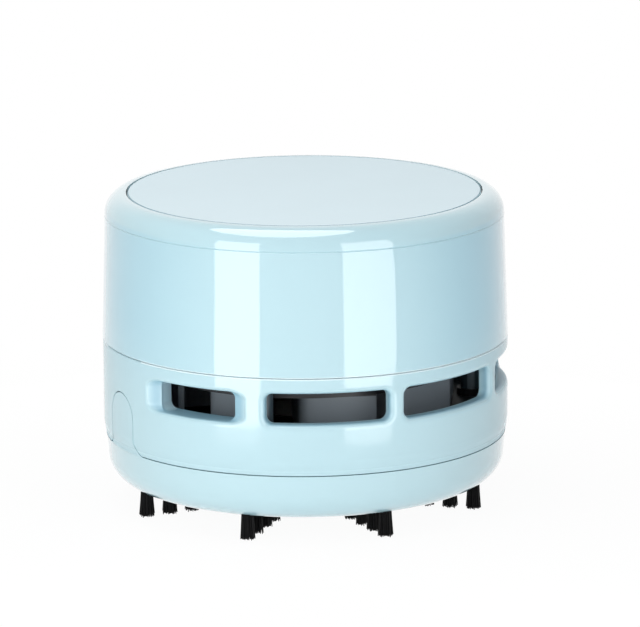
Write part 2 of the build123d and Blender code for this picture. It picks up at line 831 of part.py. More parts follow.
# ---- cap and press plate
def make_cap():
    crease = overall_height - shoulder_r
    top_r = pocket_r + shoulder_r
    lean = body_r - top_r
    inner_top_r = cap_inner_r - lean
    v = crease_depth
    shell = turn_profile(
        [(cap_inner_r, cap_low), (body_r - edge_break, cap_low), (body_r, cap_low + edge_break),
         (top_r, crease - v), (top_r - v, crease),
         (top_r, crease + v), (top_r, overall_height), (pocket_r, overall_height),
         (pocket_r, pocket_z), (0, pocket_z), (0, cap_deck_z), (inner_top_r, cap_deck_z)],
        [0, 0, 0, 0, 0, 0, shoulder_r - 2 * v, 0, 0, 0, 0, shoulder_r - wall])
    for angle in at_angles(well_n, well_first):
        at = polar(well_ring_r, angle)
        shell += cylinder(well_r + well_wall, well_floor - well_wall, cap_deck_z + bite,
                          (at.X, at.Y))
    for angle in at_angles(well_n, well_first):
        at = polar(well_ring_r, angle)
        shell -= cylinder(well_r, well_floor, overall_height, (at.X, at.Y))
    for angle in at_angles(well_n, leg_first):
        side = leg_w / 2 + slip
        shell -= turned(angle) * block(
            (-side, side), (-leg_ring_r - leg_t - slip, -leg_ring_r + leg_flex),
            (cap_deck_z - 1, pocket_z + 1))
    for angle in at_angles(rib_n, 30):
        rib = block((-rib_t / 2, rib_t / 2), (-inner_top_r - bite, rib_depth - inner_top_r),
                    (housing_top + collar_h + rib_gap, cap_deck_z + bite))
        shell += turned(angle) * rib
    return shell - cylinder(plunger_r + slip, cap_deck_z - 1, pocket_z + 1, (0, switch_y))


def make_plate():
    plate = turn_profile(
        [(0, plate_z), (plate_r, plate_z), (plate_r, overall_height - edge_break),
         (plate_r - edge_break, overall_height), (0, overall_height)],
        [0, 0, 0, 0, 0])
    hook_z = cap_deck_z - slip - leg_hook_h
    for angle in at_angles(well_n, leg_first):
        leg = block((-leg_w / 2, leg_w / 2), (-leg_ring_r - leg_t, -leg_ring_r),
                    (hook_z, plate_z + bite))
        hook = block((-leg_w / 2, leg_w / 2), (-leg_ring_r - leg_t - leg_hook, -leg_ring_r),
                     (hook_z, hook_z + leg_hook_h))
        plate += turned(angle) * (leg + hook)
    for angle in at_angles(well_n, well_first):
        at = polar(well_ring_r, angle)
        guide_r = plate_spring_r - plate_spring_wire / 2 - slip
        plate += cylinder(guide_r, plate_z - guide_h, plate_z + bite, (at.X, at.Y))
    return plate + cylinder(plunger_r, stem_top + plunger_gap, plate_z + bite, (0, switch_y))


def make_plate_spring(angle):
    at = polar(well_ring_r, angle)
    coil = spring(plate_spring_r, plate_spring_wire, well_floor, plate_z, plate_spring_turns)
    return Pos(at.X, at.Y, 0) * coil


# ---- the whole model
def build_parts():
    parts = {
        "dust_tray": make_tray(),
        "release_latch": make_latch(),
        "filter_frame": make_filter_frame(),
        "filter_cloth": make_filter_cloth(),
        "vent_housing": make_vent_housing(),
        "intake_shroud": make_shroud(),
        "shroud_screws": make_shroud_screws(),
        "impeller": make_impeller(),
        "motor_shaft": make_shaft(),
        "armature_core": make_armature(),
        "armature_windings": make_windings(),
        "commutator": make_commutator(),
        "motor_can": make_can(),
        "motor_end_cap": make_end_cap(),
        "motor_magnets": make_magnets(),
        "motor_terminals": make_terminals(),
        "front_bush": make_front_bush(),
        "rear_bush": make_rear_bush(),
        "battery_chassis": make_chassis(),
        "chassis_screws": make_chassis_screws(),
        "cell_right": make_cell(1),
        "cell_left": make_cell(-1),
        "spring_contacts": make_spring_contacts(),
        "nub_contacts": make_nub_contacts(),
        "cell_spring_right": make_cell_spring(1),
        "cell_spring_left": make_cell_spring(-1),
        "switch_body": make_switch(),
        "switch_stem": make_stem(),
        "cap_shell": make_cap(),
        "press_plate": make_plate(),
    }
    for i, angle in enumerate(at_angles(row_n)):
        parts[f"bristle_row_{i + 1}"] = make_bristle_row(angle)
    for i, angle in enumerate(at_angles(well_n, well_first)):
        parts[f"plate_spring_{i + 1}"] = make_plate_spring(angle)
    return parts


os.makedirs("parts", exist_ok=True)
for name, shape in build_parts().items():
    export_step(shape, f"parts/{name}.step")
    print(name, round(shape.volume, 1))
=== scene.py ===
import json
import math

import bmesh
import bpy
import numpy as np
from mathutils import Matrix, Vector


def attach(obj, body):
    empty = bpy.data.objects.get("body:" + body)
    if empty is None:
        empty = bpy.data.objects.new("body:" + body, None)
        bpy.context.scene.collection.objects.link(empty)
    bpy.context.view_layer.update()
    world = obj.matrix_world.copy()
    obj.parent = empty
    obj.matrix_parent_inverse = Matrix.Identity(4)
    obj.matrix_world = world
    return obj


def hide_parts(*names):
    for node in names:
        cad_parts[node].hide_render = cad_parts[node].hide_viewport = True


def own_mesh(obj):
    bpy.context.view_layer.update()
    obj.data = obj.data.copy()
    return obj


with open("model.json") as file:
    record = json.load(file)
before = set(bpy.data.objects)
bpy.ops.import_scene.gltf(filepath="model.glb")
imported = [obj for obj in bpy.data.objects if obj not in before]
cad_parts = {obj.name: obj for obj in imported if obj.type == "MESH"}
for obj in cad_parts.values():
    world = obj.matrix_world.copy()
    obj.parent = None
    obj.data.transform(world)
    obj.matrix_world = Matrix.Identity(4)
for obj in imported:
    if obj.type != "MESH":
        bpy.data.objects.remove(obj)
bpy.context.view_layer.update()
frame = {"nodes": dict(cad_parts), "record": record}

scene = bpy.context.scene
scene.view_settings.view_transform = "Standard"
mm = 0.001
bodyRadius = 0.043        # the round wall of the cap and the housing, in metres from the axis

# what a user would change, one dictionary for each thing
cameraSetup = {
    "azimuth": 64.0,        # degrees, 0 looks along +Y
    "elevation": 12.8,
    "roll": 0.42,           # the view's right side stands a little higher
    "lens": 285.75,
    "distance": 1.076,
    "aimHeight": 0.03972,
    "aimRight": 0.00315,
    "clip": (0.05, 20.0),
}
studio = {
    "worldLevel": 0.332,      # soft light from all round
    "worldLean": (0.55, 0.30),   # more of it comes from the view's left, and from the front
    "coolRight": (0.02, 0.12, 0.26),   # and light from the right has this much more of each colour
    "backGlow": 0.3,          # gloss sees this much more light behind the object
    "sideShade": (0.60, 0.34, 0.10),   # and this much less of each colour on the floor beside it
    "sideReach": (0.11, 0.27),
    "sidePower": 4.0,
    "floorColour": (0.92, 0.92, 0.915),
    "floorRoughness": 0.7,
    "floorSpecular": 0.2,
    "floorSide": 2.4,
    "shadowShare": 0.045,     # how much of the lit floor shows near the object
    "shadowReach": 0.16,
    "stripDistance": 0.086,   # from the round wall to a strip light
    "stripTop": 0.107,
    "leftStrip": (-26.0, -12.65),   # plan angles from the camera, where the wall mirrors a strip
    "rightStrip": (10.85, 24.75),
    "leftGlow": 2.75,
    "rightGlow": 2.35,
    "stripBase": 0.0002,
    "stripFoot": 0.0042,      # below this the strips are shaded, down to these shares of their glow
    "footShares": (0.25, 0.60),
    "rearShare": 0.60,        # a second pair stands opposite, lower and with this share of the glow
    "rearTop": 0.082,
    "rearReach": (0.093, 0.101),   # and nothing farther off than this sees it
    "overheadHeight": 0.40,
    "overheadSize": (0.289, 0.327),
    "overheadCentre": (-0.052, -0.025),
    "overheadGlow": 3.05,
}


def viewAxes(azimuth, elevation):
    # back points from the object to the camera; right and up span the view
    a, e = math.radians(azimuth), math.radians(elevation)
    back = Vector((math.sin(a) * math.cos(e), -math.cos(a) * math.cos(e), math.sin(e)))
    right = Vector((math.cos(a), math.sin(a), 0.0))
    return right, back.cross(right), back


def makeCamera():
    c = cameraSetup
    right, up, back = viewAxes(c["azimuth"], c["elevation"])
    target = Vector((0, 0, c["aimHeight"])) + right * c["aimRight"]
    r = math.radians(c["roll"])
    tiltedRight = right * math.cos(r) - up * math.sin(r)
    tiltedUp = up * math.cos(r) + right * math.sin(r)
    data = bpy.data.cameras.new("pictureCamera")
    data.lens = c["lens"]
    data.clip_start, data.clip_end = c["clip"]
    camera = bpy.data.objects.new("pictureCamera", data)
    scene.collection.objects.link(camera)
    turn = Matrix((tiltedRight, tiltedUp, back)).transposed().to_4x4()
    camera.matrix_world = Matrix.Translation(target + back * c["distance"]) @ turn
    scene.camera = camera


def feed(tree, node, given):
    # given maps a socket's name or number to the socket that feeds it, or to its value
    for key, source in given.items():
        if isinstance(source, bpy.types.NodeSocket):
            tree.links.new(source, node.inputs[key])
        else:
            node.inputs[key].default_value = source


def addNode(tree, kind, *inputs, named=None, **settings):
    # settings come first, because they decide which sockets the node has
    node = tree.nodes.new("ShaderNode" + kind)
    for name, value in settings.items():
        setattr(node, name, value)
    feed(tree, node, {**dict(enumerate(inputs)), **(named or {})})
    return node


def calc(tree, operation, *inputs):
    return addNode(tree, "Math", *inputs, operation=operation).outputs[0]


def calcVector(tree, operation, *inputs, named=None):
    node = addNode(tree, "VectorMath", *inputs, named=named, operation=operation)
    return node.outputs["Value" if operation in ("LENGTH", "DOT_PRODUCT") else "Vector"]


def mapRange(tree, value, *marks, interpolation="LINEAR"):
    # marks are from low, from high and, if they aren't 0 and 1, to low and to high
    return addNode(tree, "MapRange", value, *marks, interpolation_type=interpolation).outputs[0]


def seenDirectly(tree, path):
    # 1 for a ray from the camera, and for one that gloss or a clear piece sends on
    seen = calc(tree, "MAXIMUM", path["Is Camera Ray"], path["Is Glossy Ray"])
    return calc(tree, "MAXIMUM", seen, path["Is Transmission Ray"])


def areaLight(name, centre, facing, size, glow, up=(0, 0, 1), reach=None, shape="RECTANGLE"):
    # a panel that shines along facing; glow is its brightness, where 1 is white, and it fades away
    # between the two distances of reach
    data = bpy.data.lights.new(name, "AREA")
    data.shape = shape
    data.size, data.size_y = size
    fill = math.pi / 4 if shape == "ELLIPSE" else 1.0
    data.energy = glow * size[0] * size[1] * fill * math.pi
    lamp = bpy.data.objects.new(name, data)
    scene.collection.objects.link(lamp)
    back = -Vector(facing).normalized()
    side = Vector(up).cross(back).normalized()
    lamp.matrix_world = Matrix((side, back.cross(side), back)).transposed().to_4x4()
    lamp.matrix_world.translation = Vector(centre)
    lamp.visible_camera = False
    if reach:
        data.use_nodes = True
        tree = data.node_tree
        far = tree.nodes.new("ShaderNodeLightPath").outputs["Ray Length"]
        fade = mapRange(tree, far, *reach, 1.0, 0.0, interpolation="SMOOTHSTEP")
        feed(tree, tree.nodes["Emission"], {"Strength": fade})


def makeLights():
    s = studio
    right, _, back = viewAxes(cameraSetup["azimuth"], 0.0)

    def stripEdge(angle):
        # a ray from the camera meets the wall at this angle and leaves at twice it
        a = math.radians(angle)
        foot = right * math.sin(a) + back * math.cos(a)
        away = right * math.sin(2 * a) + back * math.cos(2 * a)
        return foot * bodyRadius + away * s["stripDistance"]

    for name, edges, glow, share in (
            ("stripLeft", s["leftStrip"], s["leftGlow"], s["footShares"][0]),
            ("stripRight", s["rightStrip"], s["rightGlow"], s["footShares"][1])):
        one, two = stripEdge(edges[0]), stripEdge(edges[1])
        facing = (two - one).cross(Vector((0, 0, 1)))
        if facing.dot(one) > 0:
            facing = -facing
        for part, low, high, level, turn, reach in (
                ("", s["stripFoot"], s["stripTop"], glow, 1, None),
                ("Foot", s["stripBase"], s["stripFoot"], glow * share, 1, None),
                ("Rear", s["stripFoot"], s["rearTop"], glow * s["rearShare"], -1, s["rearReach"])):
            middle = (one + two) / 2 * turn
            middle.z = (low + high) / 2
            size = (two - one).length, high - low
            areaLight(name + part, middle, facing * turn, size, level, reach=reach)
    x, y = s["overheadCentre"]
    centre = right * x + back * -y
    centre.z = s["overheadHeight"]
    areaLight("overhead", centre, (0, 0, -1), s["overheadSize"], s["overheadGlow"], up=back,
              shape="ELLIPSE")


def makeWorld():
    # seen directly the world is white, and brighter behind the object in gloss; what lights matt
    # skin is soft, level * (1 + lean . direction), and cooler the more it comes from the right
    world = bpy.data.worlds.new("paleStudio")
    scene.world = world
    world.use_nodes = True
    tree = world.node_tree
    tree.nodes.clear()
    right, _, back = viewAxes(cameraSetup["azimuth"], 0.0)
    toLeft, toFront = studio["worldLean"]
    level = studio["worldLevel"]
    path = tree.nodes.new("ShaderNodeLightPath").outputs
    direction = tree.nodes.new("ShaderNodeTexCoord").outputs["Generated"]
    behind = calcVector(tree, "DOT_PRODUCT", direction, -back * studio["backGlow"])
    glossy = calc(tree, "MULTIPLY", calc(tree, "MAXIMUM", behind, 0.0), path["Is Glossy Ray"])
    white = addNode(tree, "Background", named={"Strength": calc(tree, "ADD", glossy, 1.0)})
    lean = calcVector(tree, "DOT_PRODUCT", direction, back * toFront - right * toLeft)
    fromRight = calc(tree, "MAXIMUM", calcVector(tree, "DOT_PRODUCT", direction, right), 0.0)
    cool = calcVector(tree, "MULTIPLY_ADD", fromRight, studio["coolRight"], (1.0, 1.0, 1.0))
    soft = addNode(tree, "Background", cool, calc(tree, "MULTIPLY_ADD", lean, level, level))
    pick = addNode(tree, "MixShader", seenDirectly(tree, path), soft.outputs[0], white.outputs[0])
    addNode(tree, "OutputWorld", pick.outputs[0])


def makeFloor():
    s = studio
    half = s["floorSide"] / 2
    mesh = bpy.data.meshes.new("floor")
    mesh.from_pydata([(-half, -half, 0), (half, -half, 0), (half, half, 0), (-half, half, 0)],
                     [], [(0, 1, 2, 3)])
    floor = bpy.data.objects.new("floor", mesh)
    scene.collection.objects.link(floor)
    mat = bpy.data.materials.new("paleFloor")
    mat.use_nodes = True
    tree = mat.node_tree
    skin = tree.nodes["Principled BSDF"]
    feed(tree, skin, {"Base Color": (*s["floorColour"], 1), "Roughness": s["floorRoughness"],
                      "Specular IOR Level": s["floorSpecular"]})
    path = tree.nodes.new("ShaderNodeLightPath").outputs
    place = tree.nodes.new("ShaderNodeTexCoord").outputs["Object"]
    reach = calcVector(tree, "LENGTH", place)
    # in gloss the floor's colour is white - shade * s^sidePower, where s is how far sideways of its
    # distance the point lies
    right = viewAxes(cameraSetup["azimuth"], 0.0)[0]
    sideways = calcVector(tree, "DOT_PRODUCT", calcVector(tree, "NORMALIZE", place), right)
    far = mapRange(tree, reach, *s["sideReach"], interpolation="SMOOTHSTEP")
    shade = calc(tree, "MULTIPLY", calc(tree, "POWER", sideways, s["sidePower"]), far)
    glossy = calc(tree, "MULTIPLY", shade, path["Is Glossy Ray"])
    less = [-level for level in s["sideShade"]]
    tint = calcVector(tree, "MULTIPLY_ADD", glossy, less, (1.0, 1.0, 1.0))
    white = addNode(tree, "Emission", tint)
    # what looks at the floor sees white, with the lit floor and its shadow mixed in near the object
    near = mapRange(tree, reach, bodyRadius, s["shadowReach"], 1 - s["shadowShare"], 1.0,
                    interpolation="SMOOTHSTEP")
    share = calc(tree, "MULTIPLY", seenDirectly(tree, path), near)
    pick = addNode(tree, "MixShader", share, skin.outputs[0], white.outputs[0])
    feed(tree, tree.nodes["Material Output"], {"Surface": pick.outputs[0]})
    mesh.materials.append(mat)


makeCamera()
makeLights()
makeWorld()
makeFloor()
print("stage set")


# shared effects, as node groups
def newGroup(name, inputs, outputs):
    group = bpy.data.node_groups.new(name, "ShaderNodeTree")
    for socket, kind, value in inputs:
        made = group.interface.new_socket(socket, in_out="INPUT", socket_type=kind)
        made.default_value = value
    for socket, kind in outputs:
        group.interface.new_socket(socket, in_out="OUTPUT", socket_type=kind)
    start = group.nodes.new("NodeGroupInput")
    end = group.nodes.new("NodeGroupOutput")
    return group, start.outputs, end


def makeNoise(tree, vector, scale, detail=2.0):
    given = {"Vector": vector, "Scale": scale, "Detail": detail}
    return addNode(tree, "TexNoise", named=given).outputs["Fac"]


def mixColours(tree, share, first, second):
    given = {"Factor": share, "A": first, "B": second}
    return addNode(tree, "Mix", named=given, data_type="RGBA").outputs["Result"]


mouldedLook = {"cloudScale": 55.0, "scratchScale": 900.0, "scratchDetail": 4.0, "dustFrom": 0.55,
               "dustColour": (0.62, 0.61, 0.58, 1)}


def buildMouldedPlastic():
    # colour drifts a little over the piece, dust settles on what faces up, and fine grain lifts
    # the skin
    m = mouldedLook
    group, given, end = newGroup(
        "mouldedPlastic",
        [("Colour", "NodeSocketColor", (0.5, 0.5, 0.5, 1)), ("Drift", "NodeSocketFloat", 0.03),
         ("Roughness", "NodeSocketFloat", 0.3), ("Wear", "NodeSocketFloat", 0.03),
         ("GrainScale", "NodeSocketFloat", 4000.0), ("Dust", "NodeSocketFloat", 0.02)],
        [("Colour", "NodeSocketColor"), ("Roughness", "NodeSocketFloat"),
         ("Height", "NodeSocketFloat")])
    place = group.nodes.new("ShaderNodeTexCoord").outputs["Object"]
    normal = group.nodes.new("ShaderNodeNewGeometry").outputs["Normal"]
    cloud = makeNoise(group, place, m["cloudScale"])
    scratch = makeNoise(group, place, m["scratchScale"], m["scratchDetail"])
    grain = makeNoise(group, place, given["GrainScale"], 1.0)
    drift = calc(group, "MULTIPLY_ADD", calc(group, "SUBTRACT", cloud, 0.5), given["Drift"], 1.0)
    tone = calcVector(group, "SCALE", given["Colour"], named={"Scale": drift})
    upward = mapRange(group, addNode(group, "SeparateXYZ", normal).outputs["Z"], m["dustFrom"], 1.0)
    settled = calc(group, "MULTIPLY", upward, given["Dust"])
    dusty = calc(group, "MULTIPLY", settled, scratch)
    feed(group, end, {
        "Colour": mixColours(group, dusty, tone, m["dustColour"]),
        "Roughness": calc(group, "MULTIPLY_ADD", scratch, given["Wear"], given["Roughness"]),
        "Height": grain})
    return group


metalLook = {"lineDetail": 3.0, "lineRoughness": 0.12, "spotScale": 320.0, "spotDetail": 3.0,
             "spotFrom": 0.5, "spotFull": 0.75, "tarnishColour": (0.12, 0.09, 0.07, 1),
             "bump": 0.15, "bumpDistance": 0.00002}


def buildWorkedMetal():
    # short streaks across one direction, with darker spots of tarnish
    m = metalLook
    group, given, end = newGroup(
        "workedMetal",
        [("Colour", "NodeSocketColor", (0.6, 0.6, 0.6, 1)), ("Roughness", "NodeSocketFloat", 0.3),
         ("Streak", "NodeSocketVector", (400.0, 400.0, 4000.0)),
         ("Tarnish", "NodeSocketFloat", 0.15)],
        [("Colour", "NodeSocketColor"), ("Roughness", "NodeSocketFloat"),
         ("Height", "NodeSocketFloat")])
    place = group.nodes.new("ShaderNodeTexCoord").outputs["Object"]
    stretched = calcVector(group, "MULTIPLY", place, given["Streak"])
    lines = makeNoise(group, stretched, 1.0, m["lineDetail"])
    spots = makeNoise(group, place, m["spotScale"], m["spotDetail"])
    spread = mapRange(group, spots, m["spotFrom"], m["spotFull"])
    amount = calc(group, "MULTIPLY", spread, given["Tarnish"])
    rough = calc(group, "MULTIPLY_ADD", lines, m["lineRoughness"], given["Roughness"])
    feed(group, end, {"Colour": mixColours(group, amount, given["Colour"], m["tarnishColour"]),
                      "Roughness": rough, "Height": lines})
    return group


def buildZonePaint():
    # a second colour takes over where the distance from a centre, along the chosen axes, passes
    # a mark
    group, given, end = newGroup(
        "zonePaint",
        [("Colour", "NodeSocketColor", (0.5, 0.5, 0.5, 1)),
         ("Second", "NodeSocketColor", (0, 0, 0, 1)), ("Axes", "NodeSocketVector", (1.0, 1.0, 0.0)),
         ("Centre", "NodeSocketVector", (0.0, 0.0, 0.0)), ("From", "NodeSocketFloat", 0.0),
         ("To", "NodeSocketFloat", 1.0)],
        [("Colour", "NodeSocketColor"), ("Share", "NodeSocketFloat")])
    place = group.nodes.new("ShaderNodeTexCoord").outputs["Object"]
    offset = calcVector(group, "SUBTRACT", place, given["Centre"])
    distance = calcVector(group, "LENGTH", calcVector(group, "MULTIPLY", offset, given["Axes"]))
    share = mapRange(group, distance, given["From"], given["To"])
    feed(group, end, {"Colour": mixColours(group, share, given["Colour"], given["Second"]),
                      "Share": share})
    return group


mouldedPlastic = buildMouldedPlastic()
workedMetal = buildWorkedMetal()
zonePaint = buildZonePaint()


def addZone(tree, colour, axes, low, high, second=(0, 0, 0), centre=(0, 0, 0)):
    given = {"Colour": colour, "Second": (*second, 1), "Axes": axes, "Centre": centre,
             "From": low, "To": high}
    return addNode(tree, "Group", named=given, node_tree=zonePaint).outputs


def finish(name, effect, values, bump, distance, metallic=0.0, coat=0.0, specular=0.5, zones=(),
           dull=None):
    # a Principled skin fed by one shared effect; dull names a zone and how much rougher it is
    mat = bpy.data.materials.new(name)
    mat.use_nodes = True
    tree = mat.node_tree
    given = dict(values)
    for zone in zones:
        given["Colour"] = addZone(tree, given["Colour"], *zone)["Colour"]
    if dull:
        share = addZone(tree, values["Colour"], *dull[0])["Share"]
        given["Roughness"] = calc(tree, "MULTIPLY_ADD", share, dull[1], values["Roughness"])
    worker = addNode(tree, "Group", named=given, node_tree=effect).outputs
    relief = addNode(tree, "Bump", named={"Strength": bump, "Distance": distance,
                                          "Height": worker["Height"]})
    feed(tree, tree.nodes["Principled BSDF"], {
        "Base Color": worker["Colour"], "Roughness": worker["Roughness"],
        "Normal": relief.outputs["Normal"], "Metallic": metallic, "Coat Weight": coat,
        "Coat Roughness": coatRoughness, "Specular IOR Level": specular})
    return mat


def plastic(name, colour, roughness, wear=0.03, drift=0.04, dust=0.02, grain=4000.0, bump=0.05,
            distance=0.00002, **skin):
    values = {"Colour": (*colour, 1), "Roughness": roughness, "Wear": wear, "Drift": drift,
              "Dust": dust, "GrainScale": grain}
    return finish(name, mouldedPlastic, values, bump, distance, **skin)


def metal(name, colour, roughness, streak=(400.0, 400.0, 4000.0), tarnish=0.15):
    values = {"Colour": (*colour, 1), "Roughness": roughness, "Streak": streak, "Tarnish": tarnish}
    return finish(name, workedMetal, values, metalLook["bump"], metalLook["bumpDistance"],
                  metallic=1.0)


def planPoint(radius, angle):
    a = math.radians(angle)
    return radius * math.sin(a), -radius * math.cos(a), 0.0


coatRoughness = 0.03
paleBlue = (0.480, 0.695, 0.760)
trayBounceLitBlue = (0.500, 0.712, 0.772)     # painted light: a touch lighter than the body, for the light the floor bounces up onto the tray
chamberShadeBlue = (0.035, 0.06, 0.075)   # painted shade inside the fan's chamber, where little light reaches
plateBlue = (0.71, 0.855, 0.91)
edgeBlue = (0.26, 0.42, 0.49)        # the plate's bevel, in the shade of the gap
# painted shade in the gaps of the lower seam
seamShadeBlue = (0.40, 0.61, 0.68)
# painted shade in the slots' scoops and round the throttled slot's mouth
scoopShadeBlue = (0.32, 0.55, 0.66)
throatBlue = (0.62, 0.83, 0.91)      # the lit end of the throttled slot
gapPaintedLightBlue = (0.80, 0.94, 0.98)      # painted light on the upper seam's edges and in the gaps round the plate and the cap, against their shade
bossGrey = (0.20, 0.25, 0.28)        # the lit side of a screw boss in the chamber
discBlack = (0.03, 0.03, 0.033)      # the fan's disc, in the shade over its vanes
sleeveBlue = (0.05, 0.12, 0.22)
bandGrey = (0.55, 0.57, 0.58)        # printed bands round the cells

# a zone is (axes, start, full, colour, centre): its colour takes over as the distance from the
# centre, along the axes, goes from start to full in metres, so a full below start means inside;
# later zones lie over earlier ones
roundAxis, upAxis, alongCell = (1.0, 1.0, 0.0), (0.0, 0.0, 1.0), (0.0, 1.0, 0.0)
# the zones of the housing, tray, cap and plate paint shade and light into the colour, and the fan's
# disc is painted shade; the cells' zones are print
paintZones = {
    "housing": {
        # painted shade inside the chamber
        "chamber": (roundAxis, 0.0404, 0.0401, chamberShadeBlue),
        # painted shade round the throttled slot's mouth, lighter than the chamber's
        "throttledMouth": (roundAxis, 0.0118, 0.0116, scoopShadeBlue, planPoint(0.041, 30.5)),
        "throttledEnd": (roundAxis, 0.0024, 0.0020, throatBlue, planPoint(0.0391, 16.9)),
        # painted shade in the slots' scoops, up to the outer wall
        "scoops": (roundAxis, 0.0402, 0.0414, scoopShadeBlue),
        "wall": (roundAxis, 0.0418, 0.0427, paleBlue),
        # painted shade again, farther in
        "chamberInside": (roundAxis, 0.0377, 0.0375, chamberShadeBlue),
        "bossSide": (roundAxis, 0.0009, 0.0007, bossGrey, (0.00833, 0.03526, 0.0)),
        "deckTop": (upAxis, 0.0335, 0.034, paleBlue),
        "rebate": (upAxis, 0.0185, 0.0182, paleBlue),
        # painted shade in the gap of the lower seam
        "lowerSeam": (upAxis, 0.01530, 0.01522, seamShadeBlue),
        # painted light on the housing's edge at the upper seam
        "upperSeam": (upAxis, 0.03535, 0.03542, gapPaintedLightBlue),
        "collar": (upAxis, 0.03590, 0.03595, paleBlue),
        "latchPlace": (roundAxis, 0.0085, 0.0083, paleBlue, (0.0, -0.0420, 0.0)),
    },
    "tray": {
        # painted shade on the tray's edge in the lower seam
        "lowerSeam": (upAxis, 0.01496, 0.01499, seamShadeBlue),
        # above the lap the tray's colour comes back, painted lighter for the floor's bounce
        "lap": (upAxis, 0.0153, 0.0154, trayBounceLitBlue),
    },
    "cap": {
        # painted light on the pocket's wall, in the gap round the plate
        "pocketWall": (roundAxis, 0.03765, 0.03762, gapPaintedLightBlue),
        "belowPocket": (upAxis, 0.0630, 0.0629, paleBlue),
        # painted light on the cap's foot, in the gap of the upper seam
        "upperSeam": (upAxis, 0.03605, 0.03598, gapPaintedLightBlue),
    },
    "plate": {
        "bevel": (roundAxis, 0.03699, 0.03704, edgeBlue),
        # painted light on the plate's side wall, in the gap round it
        "rim": (roundAxis, 0.03718, 0.03720, gapPaintedLightBlue),
    },
    "fan": {"disc": (upAxis, 0.0288, 0.0290, discBlack)},
    "cell": {
        "band": (alongCell, 0.0182, 0.0183, bandGrey),
        "bandEnd": (alongCell, 0.0212, 0.0213, sleeveBlue),
    },
}
insideWall = (roundAxis, 0.0428, 0.0425)     # within this the housing's skin is rougher


def zonesOf(piece):
    return list(paintZones[piece].values())


finishes = {
    "cap_blue": plastic("capBlue", paleBlue, 0.045, wear=0.03, drift=0.02, grain=900.0, bump=0.02,
                        coat=1.0, zones=zonesOf("cap")),
    "body_blue": plastic("bodyBlue", paleBlue, 0.05, wear=0.03, drift=0.02, grain=900.0, bump=0.02,
                         specular=1.0, zones=zonesOf("housing"),
                         dull=(insideWall, 0.30)),
    # the tray's colour is painted a touch lighter than the body's, for the light the floor bounces
    # up
    "tray_blue": plastic("trayBounceLitBlue", trayBounceLitBlue, 0.09, wear=0.05, drift=0.03, grain=900.0, bump=0.03,
                         coat=1.0, zones=zonesOf("tray")),
    "plate_blue": plastic("plateBlue", plateBlue, 0.42, wear=0.08, grain=5200.0, bump=0.25,
                          zones=zonesOf("plate")),
    "bristle_black": plastic("bristleBlack", (0.005, 0.005, 0.0055), 0.38, wear=0.2, drift=0.5,
                             dust=0.0, specular=0.12),
    "filter_grey": plastic("filterGrey", (0.24, 0.26, 0.28), 0.42, bump=0.2),
    "filter_cloth": plastic("filterCloth", (0.74, 0.74, 0.72), 0.92, drift=0.15, grain=2600.0,
                            bump=0.9, distance=0.00015),
    "dark_grey": plastic("shroudGrey", (0.018, 0.018, 0.02), 0.45, bump=0.2, specular=0.2),
    "fan_grey": plastic("fanGrey", (0.262, 0.30, 0.335), 0.40, bump=0.15, zones=zonesOf("fan")),
    "end_cap_plastic": plastic("endCapNylon", (0.72, 0.70, 0.63), 0.5, bump=0.2),
    "chassis_white": plastic("chassisWhite", (0.78, 0.78, 0.77), 0.38, bump=0.2),
    "cell_wrap": plastic("cellSleeve", sleeveBlue, 0.16, bump=0.03, zones=zonesOf("cell")),
    "switch_black": plastic("switchBlack", (0.02, 0.02, 0.02), 0.4, bump=0.2),
    "stem_white": plastic("stemWhite", (0.75, 0.75, 0.73), 0.4, bump=0.2),
    "magnet_black": plastic("ferrite", (0.035, 0.034, 0.034), 0.62, grain=3000.0, bump=0.5),
    "screw_steel": metal("screwZinc", (0.60, 0.61, 0.63), 0.28),
    "shaft_steel": metal("shaftSteel", (0.66, 0.66, 0.67), 0.14, tarnish=0.05),
    "core_iron": metal("coreIron", (0.36, 0.35, 0.34), 0.42, streak=(60.0, 60.0, 9000.0),
                       tarnish=0.3),
    "copper": metal("copperWire", (0.78, 0.36, 0.20), 0.26, streak=(60.0, 60.0, 14000.0)),
    "can_steel": metal("canNickel", (0.68, 0.67, 0.64), 0.24, streak=(300.0, 300.0, 2500.0)),
    "contact_metal": metal("contactNickel", (0.72, 0.70, 0.66), 0.24),
    "bush_bronze": metal("bushBronze", (0.52, 0.36, 0.18), 0.42, tarnish=0.3),
    "spring_steel": metal("springNickel", (0.66, 0.65, 0.62), 0.22),
}
print("finishes mixed:", len(finishes))


def dressNodes():
    slots = {s["node"]: s["material_slot"] for s in frame["record"]["subparts"]}
    for name, node in frame["nodes"].items():
        node.data.materials.clear()
        node.data.materials.append(finishes[slots[name]])
        for face in node.data.polygons:
            face.material_index = 0


dressNodes()
print("CAD pieces dressed:", len(frame["nodes"]))


def meshFromGrid(name, points):
    # points is (pieces, rows, columns, 3); rows rise along the axis and columns run anticlockwise
    # round it
    pieces, rows, columns, _ = points.shape
    left = np.arange(pieces * rows * columns).reshape(pieces, rows, columns)
    right = np.roll(left, -1, axis=2)
    quads = np.stack([left[:, :-1], right[:, :-1], right[:, 1:], left[:, 1:]], axis=-1)
    mesh = bpy.data.meshes.new(name)
    mesh.from_pydata(points.reshape(-1, 3).tolist(), [], quads.reshape(-1, 4).tolist())
    mesh.update()
    return mesh


